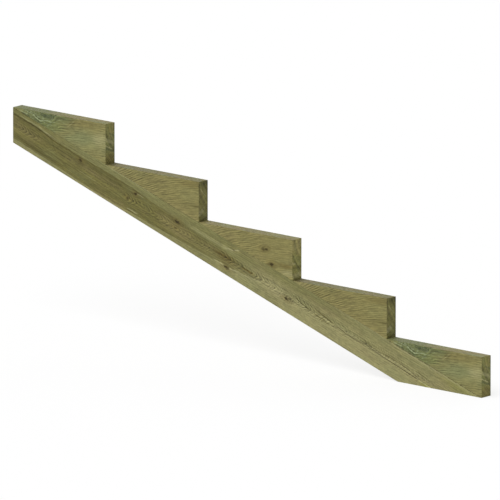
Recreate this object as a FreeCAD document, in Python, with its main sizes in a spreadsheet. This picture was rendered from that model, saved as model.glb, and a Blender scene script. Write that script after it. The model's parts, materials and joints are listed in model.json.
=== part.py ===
import FreeCAD
import Part
import Sketcher

import math
import os

# A saw-tooth stair stringer of planed, pressure-treated softwood. A sloping carriage beam, plumb-cut at the
# head and level-cut at the foot, carries one wedge-shaped step block for each step. Long screws from the
# underside hold the blocks, and the lowest block is held by shorter screws driven up through the foot.
#
# Frame, in millimetres: +X runs down the flight, +Y across the timber, +Z up. The origin is on the ground,
# under the middle of the run and in the middle of the timber's thickness.

DRIVING_SIZES = [
    ("step_count", 5, "number of steps, counted from the foot"),
    ("step_rise", 125, "height of one step"),
    ("step_going", 375, "level length of one step"),
    ("timber_thickness", 42, "thickness of the beam and of the blocks"),
    ("beam_depth", 106, "depth of the beam, square to its slope"),
    ("beam_arris", 2.5, "rounding of the beam's planed long edges"),
    ("tread_arris", 2, "rounding of a block's planed upper edges"),
    ("screw_diameter", 6, "outer diameter of a screw's shank"),
    ("screw_point_length", 8, "length of a screw's tapered point"),
    ("screw_head_diameter", 14, "diameter of a screw's flat head"),
    ("screw_head_height", 3.2, "height of a screw's flat head"),
    ("recess_diameter", 5.6, "diameter of the six-sided recess in a screw's head, across its corners"),
    ("recess_depth", 2.4, "depth of the six-sided recess"),
    ("clearance_hole_gap", 0.3, "gap round a screw where it passes through the beam"),
    ("pilot_hole_gap", 0.05, "gap round a screw in a block's pilot hole"),
    ("pilot_hole_spare", 3, "depth of a pilot hole beyond the screw's point"),
    ("counterbore_gap", 1, "gap round a screw's head in its counterbore"),
    ("screw_cover", 18, "wood between a screw's point and the tread above it, along the screw"),
    ("block_screw_sinking", 20, "depth of the counterbores in the beam's underside"),
    ("block_screw_inset", 60, "slope distance from a block's riser to its lower screw"),
    ("block_screw_spacing", 120, "slope distance between a block's two screws"),
    ("foot_screw_sinking", 12, "depth of the counterbores in the foot"),
    ("foot_screw_inset", 110, "level distance from the toe to the first foot screw"),
    ("foot_screw_spacing", 110, "level distance between the two foot screws"),
]

# Sizes that follow from the driving ones, written as expressions on the sheet. A screw's length is counted
# under its head. The places of the screws in the slope are counted down it from a block's upper end, and
# those in the foot are counted back from the toe.
RUN = "Sizes.step_count * Sizes.step_going"
TOTAL_RISE = "Sizes.step_count * Sizes.step_rise"
SLOPE = "atan(Sizes.step_rise / Sizes.step_going)"
SLOPE_PITCH = "sqrt(Sizes.step_going ^ 2 + Sizes.step_rise ^ 2)"
CLEARANCE_DIAMETER = "Sizes.screw_diameter + 2 * Sizes.clearance_hole_gap"
PILOT_DIAMETER = "Sizes.screw_diameter + 2 * Sizes.pilot_hole_gap"
COUNTERBORE_DIAMETER = "Sizes.screw_head_diameter + 2 * Sizes.counterbore_gap"
LOWER_BLOCK_SCREW = f"({SLOPE_PITCH} - Sizes.block_screw_inset)"
UPPER_BLOCK_SCREW = f"({LOWER_BLOCK_SCREW} - Sizes.block_screw_spacing)"
FIRST_FOOT_SCREW = "Sizes.foot_screw_inset"
SECOND_FOOT_SCREW = "(Sizes.foot_screw_inset + Sizes.foot_screw_spacing)"
BLOCK_SCREW_GRIP = f"({UPPER_BLOCK_SCREW} * tan({SLOPE}) - Sizes.screw_cover)"
BLOCK_SCREW_LENGTH = f"Sizes.beam_depth - Sizes.block_screw_sinking + {BLOCK_SCREW_GRIP}"
FOOT_SCREW_LENGTH = "Sizes.step_rise - Sizes.foot_screw_sinking - Sizes.screw_cover"

SCREW_PAIR = "2"
PARALLEL_TOLERANCE = 1e-6

# Sketcher's own numbers for the ends and centre of a line or circle, the axes and the origin.
START, END, CENTRE = range(1, 4)
X_AXIS, Y_AXIS = range(-1, -3, -1)
ORIGIN = X_AXIS

doc = FreeCAD.newDocument("stair_stringer")
sheet = doc.addObject("Spreadsheet::Sheet", "Sizes")
for row, (alias, value, meaning) in enumerate(DRIVING_SIZES, start=1):
    sheet.set(f"A{row}", meaning)
    sheet.set(f"B{row}", str(value))
    sheet.setAlias(f"B{row}", alias)
doc.recompute()


def value_of(expression):
    """The number that an expression on the sheet gives now."""
    return float(sheet.evalExpression(expression.replace("Sizes.", "")))


# Sketch helpers


def new_body(label):
    """An empty body whose label names its file."""
    body = doc.addObject("PartDesign::Body", label)
    body.Label = label
    return body


def new_sketch(body, name, plane_role, base=("0", "0", "0"), turn_axis=(0, 0, 1), turn="0 deg"):
    """A sketch on one of the body's origin planes, moved by base and turned about turn_axis."""
    sketch = body.newObject("Sketcher::SketchObject", name)
    plane = next(feature for feature in body.Origin.OriginFeatures if feature.Role == plane_role)
    sketch.AttachmentSupport = [(plane, "")]
    sketch.MapMode = "FlatFace"
    rotation = FreeCAD.Rotation(FreeCAD.Vector(*turn_axis), 1)
    sketch.AttachmentOffset = FreeCAD.Placement(FreeCAD.Vector(), rotation)
    for letter, expression in zip("xyz", base):
        sketch.setExpression(f"AttachmentOffset.Base.{letter}", expression)
    sketch.setExpression("AttachmentOffset.Rotation.Angle", turn)
    return sketch


def add_outline(sketch, corners):
    """A closed loop of lines through the corners: line i starts at corner i."""
    points = [FreeCAD.Vector(x, y, 0) for x, y in corners]
    for start, end in zip(points, points[1:] + points[:1]):
        sketch.addGeometry(Part.LineSegment(start, end))
    for line in range(len(points)):
        sketch.addConstraint(Sketcher.Constraint("Coincident", line, END, (line + 1) % len(points), START))


def add_size(sketch, name, expression, kind, *where):
    """A named dimension bound to an expression on the sheet."""
    index = sketch.addConstraint(Sketcher.Constraint(kind, *where, value_of(expression)))
    sketch.renameConstraint(index, name)
    sketch.setExpression(f"Constraints.{name}", expression)


def add_circles(sketch, diameter, *places):
    """Equal circles on the sketch's own X axis, at places on its positive side."""
    for number, place in enumerate(places, start=1):
        centre = FreeCAD.Vector(value_of(place), 0, 0)
        circle = sketch.addGeometry(Part.Circle(centre, FreeCAD.Vector(0, 0, 1), value_of(diameter) / 2))
        sketch.addConstraint(Sketcher.Constraint("PointOnObject", circle, CENTRE, X_AXIS))
        add_size(sketch, f"place_{number}", place, "DistanceX", ORIGIN, START, circle, CENTRE)
        add_size(sketch, f"diameter_{number}", diameter, "Diameter", circle)


def add_hexagon(sketch, diameter):
    """A regular hexagon about the sketch's origin, on a construction circle of the diameter."""
    radius = value_of(diameter) / 2
    turns = [math.radians(60 * corner) for corner in range(6)]
    add_outline(sketch, [(radius * math.cos(turn), radius * math.sin(turn)) for turn in turns])
    circle = sketch.addGeometry(Part.Circle(FreeCAD.Vector(), FreeCAD.Vector(0, 0, 1), radius), True)
    sketch.addConstraint(Sketcher.Constraint("Coincident", circle, CENTRE, ORIGIN, START))
    sketch.addConstraint(Sketcher.Constraint("PointOnObject", 0, START, X_AXIS))
    for line in range(6):
        sketch.addConstraint(Sketcher.Constraint("PointOnObject", line, START, circle))
    for line in range(1, 6):
        sketch.addConstraint(Sketcher.Constraint("Equal", 0, line))
    add_size(sketch, "across_corners", diameter, "Diameter", circle)


def add_pad(body, name, profile, length):
    """A pad of the profile, half to each side of its sketch."""
    pad = body.newObject("PartDesign::Pad", name)
    pad.Profile = profile
    pad.SideType = "Symmetric"
    pad.setExpression("Length", length)
    doc.recompute()
    return pad


def add_pocket(body, name, profile, depth):
    """A pocket cut along the sketch's normal."""
    pocket = body.newObject("PartDesign::Pocket", name)
    pocket.Profile = profile
    pocket.Reversed = True
    pocket.setExpression("Length", depth)
    doc.recompute()
    return pocket


def add_counterbored_holes(body, name, profile, depth):
    """Screw holes right through the timber along the sketch's normal, counterbored to the depth."""
    hole = body.newObject("PartDesign::Hole", name)
    hole.Profile = profile
    hole.Reversed = True
    hole.ThreadType = "None"
    hole.DepthType = "ThroughAll"
    hole.HoleCutType = "Counterbore"
    hole.HoleCutCustomValues = True
    hole.setExpression("Diameter", CLEARANCE_DIAMETER)
    hole.setExpression("HoleCutDiameter", COUNTERBORE_DIAMETER)
    hole.setExpression("HoleCutDepth", depth)
    doc.recompute()
    return hole


def round_edges(body, base, name, radius, is_rounded):
    """Rounds the edges of the base that the test picks."""
    edges = [f"Edge{i}" for i, edge in enumerate(base.Shape.Edges, start=1) if is_rounded(edge)]
    fillet = body.newObject("PartDesign::Fillet", name)
    fillet.Base = (base, edges)
    fillet.setExpression("Radius", radius)
    doc.recompute()
    return fillet


def runs_along(edge, direction):
    """True where a straight edge is parallel to the direction."""
    span = edge.Vertexes[-1].Point - edge.Vertexes[0].Point
    return span.cross(direction).Length < PARALLEL_TOLERANCE * span.Length * direction.Length


# Carriage beam


def make_carriage_beam():
    """The sloping beam. Its upper edge runs from the head's top corner down to the toe."""
    body = new_body("carriage_beam")
    half_run = f"{RUN} / 2"
    plumb_depth = f"Sizes.beam_depth / cos({SLOPE})"
    foot_length = f"Sizes.beam_depth / sin({SLOPE})"
    head_x, head_z = -value_of(half_run), value_of(TOTAL_RISE)
    toe_x = value_of(half_run)

    outline = new_sketch(body, "beam_outline", "XZ_Plane")
    plumb_cut, underside, foot, upper_edge = range(4)
    add_outline(outline, [
        (head_x, head_z),
        (head_x, head_z - value_of(plumb_depth)),
        (toe_x - value_of(foot_length), 0),
        (toe_x, 0),
    ])
    outline.addConstraint(Sketcher.Constraint("Vertical", plumb_cut))
    outline.addConstraint(Sketcher.Constraint("Horizontal", foot))
    outline.addConstraint(Sketcher.Constraint("Parallel", underside, upper_edge))
    outline.addConstraint(Sketcher.Constraint("PointOnObject", foot, END, X_AXIS))
    add_size(outline, "head_reach", half_run, "DistanceX", plumb_cut, START, ORIGIN, START)
    add_size(outline, "toe_reach", half_run, "DistanceX", ORIGIN, START, foot, END)
    add_size(outline, "head_height", TOTAL_RISE, "DistanceY", ORIGIN, START, plumb_cut, START)
    add_size(outline, "beam_depth", "Sizes.beam_depth", "Distance", underside, START, upper_edge)

    timber = add_pad(body, "beam_timber", outline, "Sizes.timber_thickness")
    down_slope = FreeCAD.Vector(value_of("Sizes.step_going"), 0, -value_of("Sizes.step_rise"))
    round_edges(body, timber, "planed_edges", "Sizes.beam_arris", lambda edge: runs_along(edge, down_slope))

    # The uppermost block's two holes start in the underside, square below their places in its joint.
    underside_base = (
        f"-{half_run} - Sizes.beam_depth * sin({SLOPE})",
        "0",
        f"{TOTAL_RISE} - Sizes.beam_depth * cos({SLOPE})",
    )
    places = new_sketch(body, "block_screw_places", "XY_Plane", underside_base, (0, 1, 0), SLOPE)
    add_circles(places, CLEARANCE_DIAMETER, UPPER_BLOCK_SCREW, LOWER_BLOCK_SCREW)
    holes = add_counterbored_holes(body, "block_screw_holes", places, "Sizes.block_screw_sinking")
    rows = body.newObject("PartDesign::LinearPattern", "block_screw_rows")
    rows.Originals = [holes]
    rows.Direction = (places, ["H_Axis"])
    rows.Mode = "Spacing"
    rows.setExpression("Offset", SLOPE_PITCH)
    rows.setExpression("Occurrences", "Sizes.step_count - 1")
    body.Tip = rows
    doc.recompute()

    toe = (half_run, "0", "0")
    foot_places = new_sketch(body, "foot_screw_places", "XY_Plane", toe, (0, 0, 1), "180 deg")
    add_circles(foot_places, CLEARANCE_DIAMETER, FIRST_FOOT_SCREW, SECOND_FOOT_SCREW)
    add_counterbored_holes(body, "foot_screw_holes", foot_places, "Sizes.foot_screw_sinking")
    return body


# Step blocks


def make_step_block(number):
    """A right-angled wedge with level grain. Its own origin is the nosing, where tread and riser meet."""
    body = new_body(f"step_block_{number}")
    outline = new_sketch(body, f"block_outline_{number}", "XZ_Plane")
    tread, riser = 0, 1
    going, rise = value_of("Sizes.step_going"), value_of("Sizes.step_rise")
    add_outline(outline, [(-going, 0), (0, 0), (0, -rise)])
    outline.addConstraint(Sketcher.Constraint("Coincident", tread, END, ORIGIN, START))
    outline.addConstraint(Sketcher.Constraint("Horizontal", tread))
    outline.addConstraint(Sketcher.Constraint("Vertical", riser))
    add_size(outline, "going", "Sizes.step_going", "DistanceX", tread, START, tread, END)
    add_size(outline, "rise", "Sizes.step_rise", "DistanceY", riser, END, riser, START)

    timber = add_pad(body, f"block_timber_{number}", outline, "Sizes.timber_thickness")
    level = FreeCAD.Vector(1, 0, 0)
    name = f"tread_edges_{number}"
    round_edges(body, timber, name, "Sizes.tread_arris", lambda edge: runs_along(edge, level))

    if number == 1:
        toe = ("0", "0", "-Sizes.step_rise")
        places = new_sketch(body, "foot_pilot_places", "XY_Plane", toe, (0, 0, 1), "180 deg")
        add_circles(places, PILOT_DIAMETER, FIRST_FOOT_SCREW, SECOND_FOOT_SCREW)
        depth = f"Sizes.foot_screw_sinking + {FOOT_SCREW_LENGTH} + Sizes.pilot_hole_spare"
    else:
        upper_end = ("-Sizes.step_going", "0", "0")
        places = new_sketch(body, f"pilot_places_{number}", "XY_Plane", upper_end, (0, 1, 0), SLOPE)
        add_circles(places, PILOT_DIAMETER, UPPER_BLOCK_SCREW, LOWER_BLOCK_SCREW)
        depth = f"{BLOCK_SCREW_GRIP} + Sizes.pilot_hole_spare"
    add_pocket(body, f"pilot_holes_{number}", places, depth)

    body.setExpression("Placement.Base.x", f"{RUN} / 2 - {number - 1} * Sizes.step_going")
    body.setExpression("Placement.Base.z", f"{number} * Sizes.step_rise")
    doc.recompute()
    return body


# Screws


def make_screws(label, head_seat, turn, length, repeats):
    """Flat-headed wood screws, the first with its head on the seat. A (spacing, count) repeats the set."""
    body = new_body(label)
    body.AllowCompound = True
    head_x, head_z = head_seat

    seat_base = (head_x, head_z, "0")
    profile = new_sketch(body, f"{label}_profile", "XZ_Plane", seat_base, (0, 0, 1), f"-({turn})")
    head_radius, shank_radius = "Sizes.screw_head_diameter / 2", "Sizes.screw_diameter / 2"
    head_r, shank_r = value_of(head_radius), value_of(shank_radius)
    head_h, tip = value_of("Sizes.screw_head_height"), value_of(length)
    add_outline(profile, [
        (0, -head_h),
        (head_r, -head_h),
        (head_r, 0),
        (shank_r, 0),
        (shank_r, tip - value_of("Sizes.screw_point_length")),
        (0, tip),
    ])
    face, rim, seat, shank, point, axis = range(6)
    for line in (face, seat):
        profile.addConstraint(Sketcher.Constraint("Horizontal", line))
    for line in (rim, shank):
        profile.addConstraint(Sketcher.Constraint("Vertical", line))
    profile.addConstraint(Sketcher.Constraint("PointOnObject", axis, START, Y_AXIS))
    profile.addConstraint(Sketcher.Constraint("PointOnObject", axis, END, Y_AXIS))
    profile.addConstraint(Sketcher.Constraint("PointOnObject", seat, START, X_AXIS))
    add_size(profile, "head_radius", head_radius, "DistanceX", ORIGIN, START, rim, START)
    add_size(profile, "shank_radius", shank_radius, "DistanceX", ORIGIN, START, shank, START)
    add_size(profile, "head_height", "Sizes.screw_head_height", "DistanceY", face, START, ORIGIN, START)
    add_size(profile, "length", length, "DistanceY", ORIGIN, START, point, END)
    add_size(profile, "point_length", "Sizes.screw_point_length", "DistanceY", shank, END, point, END)

    blank = body.newObject("PartDesign::Revolution", f"{label}_blank")
    blank.Profile = profile
    blank.ReferenceAxis = (profile, ["V_Axis"])
    doc.recompute()

    face_base = (
        f"{head_x} - Sizes.screw_head_height * sin({turn})",
        "0",
        f"{head_z} - Sizes.screw_head_height * cos({turn})",
    )
    recess = new_sketch(body, f"{label}_recess_outline", "XY_Plane", face_base, (0, 1, 0), turn)
    add_hexagon(recess, "Sizes.recess_diameter")
    add_pocket(body, f"{label}_recess", recess, "Sizes.recess_depth")

    for level, (spacing, count) in enumerate(repeats, start=1):
        pattern = body.newObject("PartDesign::LinearPattern", f"{label}_repeat_{level}")
        pattern.TransformMode = "Whole shape"
        pattern.Direction = (profile, ["H_Axis"])
        pattern.Mode = "Spacing"
        pattern.setExpression("Offset", spacing)
        pattern.setExpression("Occurrences", count)
        body.Tip = pattern
        doc.recompute()
    return body


def make_block_screws():
    """Two screws for each block above the lowest, square to the slope. The first is the uppermost."""
    seat_depth = "(Sizes.beam_depth - Sizes.block_screw_sinking)"
    head_seat = (
        f"-{RUN} / 2 + {UPPER_BLOCK_SCREW} * cos({SLOPE}) - {seat_depth} * sin({SLOPE})",
        f"{TOTAL_RISE} - {UPPER_BLOCK_SCREW} * sin({SLOPE}) - {seat_depth} * cos({SLOPE})",
    )
    repeats = [("Sizes.block_screw_spacing", SCREW_PAIR), (SLOPE_PITCH, "Sizes.step_count - 1")]
    return make_screws("block_screws", head_seat, SLOPE, BLOCK_SCREW_LENGTH, repeats)


def make_foot_screws():
    """Two upright screws through the foot into the lowest block. The first is further from the toe."""
    head_seat = (f"{RUN} / 2 - {SECOND_FOOT_SCREW}", "Sizes.foot_screw_sinking")
    repeats = [("Sizes.foot_screw_spacing", SCREW_PAIR)]
    return make_screws("foot_screws", head_seat, "0 deg", FOOT_SCREW_LENGTH, repeats)


# Assembly

block_count = int(value_of("Sizes.step_count"))
sub_parts = [make_carriage_beam()]
sub_parts += [make_step_block(number) for number in range(1, block_count + 1)]
sub_parts += [make_block_screws(), make_foot_screws()]
doc.recompute()

failed = [item.Label for item in doc.Objects if "Invalid" in item.State or "Error" in item.State]
if failed:
    raise RuntimeError(f"these objects did not rebuild: {failed}")
for sub_part in sub_parts:
    if sub_part.Shape.isNull() or not sub_part.Shape.isValid():
        raise RuntimeError(f"{sub_part.Label} has no valid shape")

os.makedirs("parts", exist_ok=True)
for sub_part in sub_parts:
    shape = sub_part.Shape
    shape.exportStep(f"parts/{sub_part.Label}.step")
    print(f"{sub_part.Label}: {len(shape.Solids)} solids, {shape.Volume:.0f} mm3")
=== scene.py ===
import functools
import json
import math
import operator
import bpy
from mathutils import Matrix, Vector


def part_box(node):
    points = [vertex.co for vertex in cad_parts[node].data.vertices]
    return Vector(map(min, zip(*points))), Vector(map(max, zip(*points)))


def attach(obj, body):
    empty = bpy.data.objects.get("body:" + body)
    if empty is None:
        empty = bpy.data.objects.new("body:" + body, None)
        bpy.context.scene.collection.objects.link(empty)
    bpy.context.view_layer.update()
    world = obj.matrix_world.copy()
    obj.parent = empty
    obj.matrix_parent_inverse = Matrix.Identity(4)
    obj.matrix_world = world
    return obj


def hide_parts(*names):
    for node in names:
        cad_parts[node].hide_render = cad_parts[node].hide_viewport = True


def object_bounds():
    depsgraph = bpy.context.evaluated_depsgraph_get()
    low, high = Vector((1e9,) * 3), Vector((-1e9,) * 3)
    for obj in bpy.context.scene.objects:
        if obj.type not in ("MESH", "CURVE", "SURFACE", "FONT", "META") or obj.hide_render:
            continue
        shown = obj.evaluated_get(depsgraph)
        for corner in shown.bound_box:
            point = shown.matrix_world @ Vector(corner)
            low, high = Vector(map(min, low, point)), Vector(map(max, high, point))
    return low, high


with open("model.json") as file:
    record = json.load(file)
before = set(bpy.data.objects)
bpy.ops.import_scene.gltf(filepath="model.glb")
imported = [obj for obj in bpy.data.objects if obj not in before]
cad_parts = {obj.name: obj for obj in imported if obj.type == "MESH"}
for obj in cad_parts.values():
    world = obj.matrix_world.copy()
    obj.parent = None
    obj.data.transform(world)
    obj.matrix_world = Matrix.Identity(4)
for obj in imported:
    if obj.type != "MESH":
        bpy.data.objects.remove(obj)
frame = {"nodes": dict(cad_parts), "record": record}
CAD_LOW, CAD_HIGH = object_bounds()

from types import SimpleNamespace

import bpy
import numpy as np
from bpy.props import FloatProperty, FloatVectorProperty, IntProperty, PointerProperty
from mathutils import Matrix, Vector

# A saw-tooth stair stringer of planed, pressure-treated softwood: a sloping carriage beam that carries one
# wedge-shaped step block for each step, and the screws that hold the blocks. Everything is in metres, in the
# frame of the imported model: +X runs down the flight, +Y across the timber, +Z up from the ground.

bl_info = {
    "name": "Stair stringer",
    "version": (1, 0, 0),
    "blender": (4, 5, 0),
    "location": "3D View > Sidebar > Stringer",
    "description": "Builds the timber, the screws and the studio of a saw-tooth stair stringer",
    "category": "Object",
}

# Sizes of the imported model
BLOCK_LOW, BLOCK_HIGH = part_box("step_block_1")
GOING = BLOCK_HIGH.x - BLOCK_LOW.x
RISE = BLOCK_HIGH.z - BLOCK_LOW.z
SLOPE = math.atan2(RISE, GOING)
HEAD_MOUNT = next(mount for mount in frame["record"]["mounts"] if mount["name"] == "top_end")
HEAD_DEPTH = 2 * (CAD_HIGH.z - HEAD_MOUNT["pos_m"][2])
BEAM_DEPTH = HEAD_DEPTH * math.cos(SLOPE)

# Unit vectors down the slope and square to it, upwards
DOWN_SLOPE = np.array([math.cos(SLOPE), 0, -math.sin(SLOPE)])
OFF_SLOPE = np.array([math.sin(SLOPE), 0, math.cos(SLOPE)])
# Direction of the screws of each CAD node, and the least gap between two screws
SCREW_DIRECTIONS = {"block_screws": OFF_SLOPE, "foot_screws": np.array([0, 0, 1])}
SCREW_GAP = 0.03

FULL_TURN = 2 * math.pi
SHARP_ANGLE = math.radians(30)
TINY = 1e-9

# Numbers of lines along, across and through the timber, and how far extra lines keep the others off
BEAM_GRID = (300, 54)
BLOCK_GRID = (126, 46, 22)
TREAD_POWER = 1.5
HOLE_LINE_GAP = 0.0011
EDGE_LINE_GAP = 0.001
CHECK_LINE_GAP = 0.0006
FOOT_LINE_GAP = 0.0003
CHECK_LINES = np.arange(0.0445, 0.0645, CHECK_LINE_GAP)
# Lines in the rounding of an edge, as shares of its radius
ROUNDING_STEPS = np.linspace(0, 1, 5)
# Lines by a counterbore, in its radii: the ring inside the rim becomes the foot of the wall, a little smaller
HOLE_RINGS = np.array([-2, -1.5, -1, -0.75, -0.5, -0.25, 0, 0.25, 0.5, 0.75, 1, 1.5, 2])
INSIDE_RIM = 0.9
WALL_RING = 0.75
WALL_TAPER = 0.998

# Sides of a piece of timber, in the order of box_skin
HEAD_SIDE, FOOT_SIDE, TOP_SIDE, UNDER_SIDE, FRONT_SIDE, BACK_SIDE = range(6)

# Sizes of a screw. The half width of its thread is in pitches, and its recess's lobes swing by a share of
# the radius.
HEAD_HEIGHT = 0.0032
SHANK_RADIUS = 0.0023
CORE_RADIUS = 0.0019
THREAD_HEIGHT = 0.0011
THREAD_HALF_WIDTH = 0.3
THREAD_LENGTH = 0.06
THREAD_RUN_IN = 0.006
SHANK_RUN_OUT = 0.004
POINT_LENGTH = 0.008
RECESS_LOBES = 6
LOBE_SWING = 0.14
SCREW_COLUMNS = 30
THREAD_ROWS = 121
# Rows of a screw's head from the middle of its recess: radius, place along the axis, and shares of the lobes
# and of the thread
HEAD_ROWS = [
    (0, 0.0024, 1, 0),
    (0.0020, 0.0024, 1, 0),
    (0.0024, 0.0022, 1, 0),
    (0.0024, 0.0002, 1, 0),
    (0.0027, 0, 0.6, 0),
    (0.0045, 0, 0, 0),
    (0.0062, 0.0001, 0, 0),
    (0.0068, 0.0005, 0, 0),
    (0.0070, 0.0010, 0, 0),
    (0.0070, 0.0029, 0, 0),
    (0.0068, HEAD_HEIGHT, 0, 0),
    (0.0026, HEAD_HEIGHT, 0, 0),
    (SHANK_RADIUS, 0.0036, 0, 0),
]

# Shift of a branch's line along and across the timber, for each unit that it goes through from the front
BRANCH_LEAN = (0.7, -0.3)
# Places through the timber between which the marks of the beam's front fade in
FRONT_SKIN = (-0.012, -0.019)
BUMP_STRENGTH = 0.4
BUMP_HEIGHT = 0.0006
TIMBER_SHINE = 0.2
# Widths of the growth rings
BEAM_RING = 0.0064
BLOCK_RING = 0.0058
# Pith of the blocks' level grain, across and through, and that of the rings on their sawn ends with its reach
BLOCK_PITH = (-0.055, 0.075)
END_PITH = ((0, -0.02, 0.095), (0, 1, 1))

# Knots of the beam: place along and across, half length and half width in metres, and darkness
BEAM_KNOTS = [
    (0.299, 0.0335, 0.0080, 0.0042, 0.90),
    (0.532, 0.0320, 0.0070, 0.0050, 1.00),
    (0.508, 0.0590, 0.0065, 0.0045, 0.60),
    (0.713, 0.0375, 0.0098, 0.0056, 0.85),
    (0.712, 0.0580, 0.0080, 0.0024, 0.60),
    (0.935, 0.0820, 0.0118, 0.0055, 0.92),
    (0.945, 0.0175, 0.0045, 0.0030, 0.45),
    (1.181, 0.0650, 0.0092, 0.0043, 0.88),
    (1.193, 0.0595, 0.0056, 0.0043, 0.52),
]
# The same for the step block with small knots, from its thin end and its tread
BLOCK_KNOTS = [
    (0.257, 0.0460, 0.0078, 0.0055, 0.60),
    (0.271, 0.0435, 0.0064, 0.0048, 0.82),
    (0.292, 0.0880, 0.0084, 0.0060, 0.92),
]
# Edge and full part of a knot's core and of its halo, in its own radii, and the depth of its dish
KNOT_CORE = (1.35, 0.35)
KNOT_HALO = (4.0, 0.8)
KNOT_DISH = 0.0004
KNOT_ROUGHNESS = 1.6
HALO_STRENGTH = 0.45
# Reach of a knot's pull on the grain along and across, in its own radii, and the strength of the pull
KNOT_REACH = (6, 5)
KNOT_PULL = 0.7

# Edges of the beam's dark heart on its front: place along and across
HEART_TOP = [
    (0.000, 0.0165), (0.100, 0.0155), (0.190, 0.0235), (0.270, 0.0240), (0.400, 0.0205), (0.520, 0.0200),
    (0.590, 0.0255), (0.700, 0.0300), (0.780, 0.0370), (0.950, 0.0430), (1.085, 0.0560),
]
HEART_BOTTOM = [
    (0.000, 0.0905), (0.120, 0.0912), (0.240, 0.0950), (0.420, 0.0985), (0.500, 0.0975), (0.620, 0.0930),
    (0.720, 0.0885), (0.860, 0.0830), (0.920, 0.0815), (0.985, 0.0735), (1.055, 0.0640), (1.085, 0.0580),
]
# Change of the heart's level across the beam
HEART_TONE = [
    (0.024, 0.00), (0.030, -0.03), (0.038, -0.06), (0.048, 0.02), (0.058, 0.13), (0.066, 0.12),
    (0.082, 0.00),
]
HEART_DEPTH = 0.036
# Line of the pith on the beam's front and its depth, and the arrowheads that its rings show there: their
# pitch, their lean and their share along the beam
PITH_LINE = [
    (0.000, 0.0450), (0.170, 0.0490), (0.500, 0.0580), (0.700, 0.0570), (0.960, 0.0530), (1.200, 0.0520),
]
PITH_DEPTH = 0.006
ARROW_PITCH = 0.018
ARROW_LEAN = 1.6
ARROW_SHARE = [
    (0.03, 0.0), (0.06, 0.7), (0.16, 0.6), (0.22, 0.0), (0.49, 0.1), (0.52, 0.9), (0.62, 0.8), (0.75, 0.3),
    (0.90, 0.3), (0.95, 1.3), (0.99, 1.2), (1.01, 0.4), (1.04, 0.5), (1.06, 0.9), (1.12, 0.4), (1.18, 0.2),
    (1.20, 0.6), (1.26, 0.7), (1.36, 0.4), (1.48, 0.2), (1.52, 0.5), (1.56, 0.1), (1.69, 0.2), (1.73, 0.3),
]
# Fine strokes beside the pith, which lean as the arrowheads do, and their share along the beam
COMB_PITCH = 0.0105
COMB_LEAN = 1.2
COMB_SHARE = [
    (0.28, 0.0), (0.32, 0.7), (0.42, 0.5), (0.48, 0.1), (0.58, 0.9), (0.68, 0.7), (0.76, 0.7), (0.88, 0.9),
    (0.96, 0.3), (1.06, 0.9), (1.16, 1.2), (1.30, 1.0), (1.42, 0.7), (1.80, 0.6),
]
# Share of bleaching of the sapwood along the beam, above the pith, at the pith and below it
UPPER_BLEACH = [(0.10, 0.00), (0.30, 0.27), (0.90, 0.16), (1.30, 0.28), (1.55, 0.62), (1.80, 0.70)]
MIDDLE_BLEACH = [(0.90, 0.30), (1.10, 0.88), (1.30, 0.62), (1.80, 0.78)]
LOWER_BLEACH = [(0.10, 0.56), (0.85, 0.70), (0.95, 1.00)]

# Drying checks along the heart of the beam's front: points along and across, and sizes of their grooves
# and of their dark marks, which are painted shade inside the cracks
CHECKS = [
    [(1.370, 0.0570), (1.410, 0.0555), (1.430, 0.0590), (1.485, 0.0580), (1.515, 0.0550),
     (1.580, 0.0590), (1.650, 0.0595), (1.700, 0.0615), (1.750, 0.0620)],
    [(1.635, 0.0460), (1.700, 0.0520), (1.750, 0.0610)],
]
CHECK_FADE = 0.03
CHECK_DEPTH = 0.0009
CHECK_HALF_WIDTH = 0.0008
CHECK_SHADE_MARK = (0.0022, 0.0004)

# Share of a drawn line's half width that is full
LINE_CORE = 0.3
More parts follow.
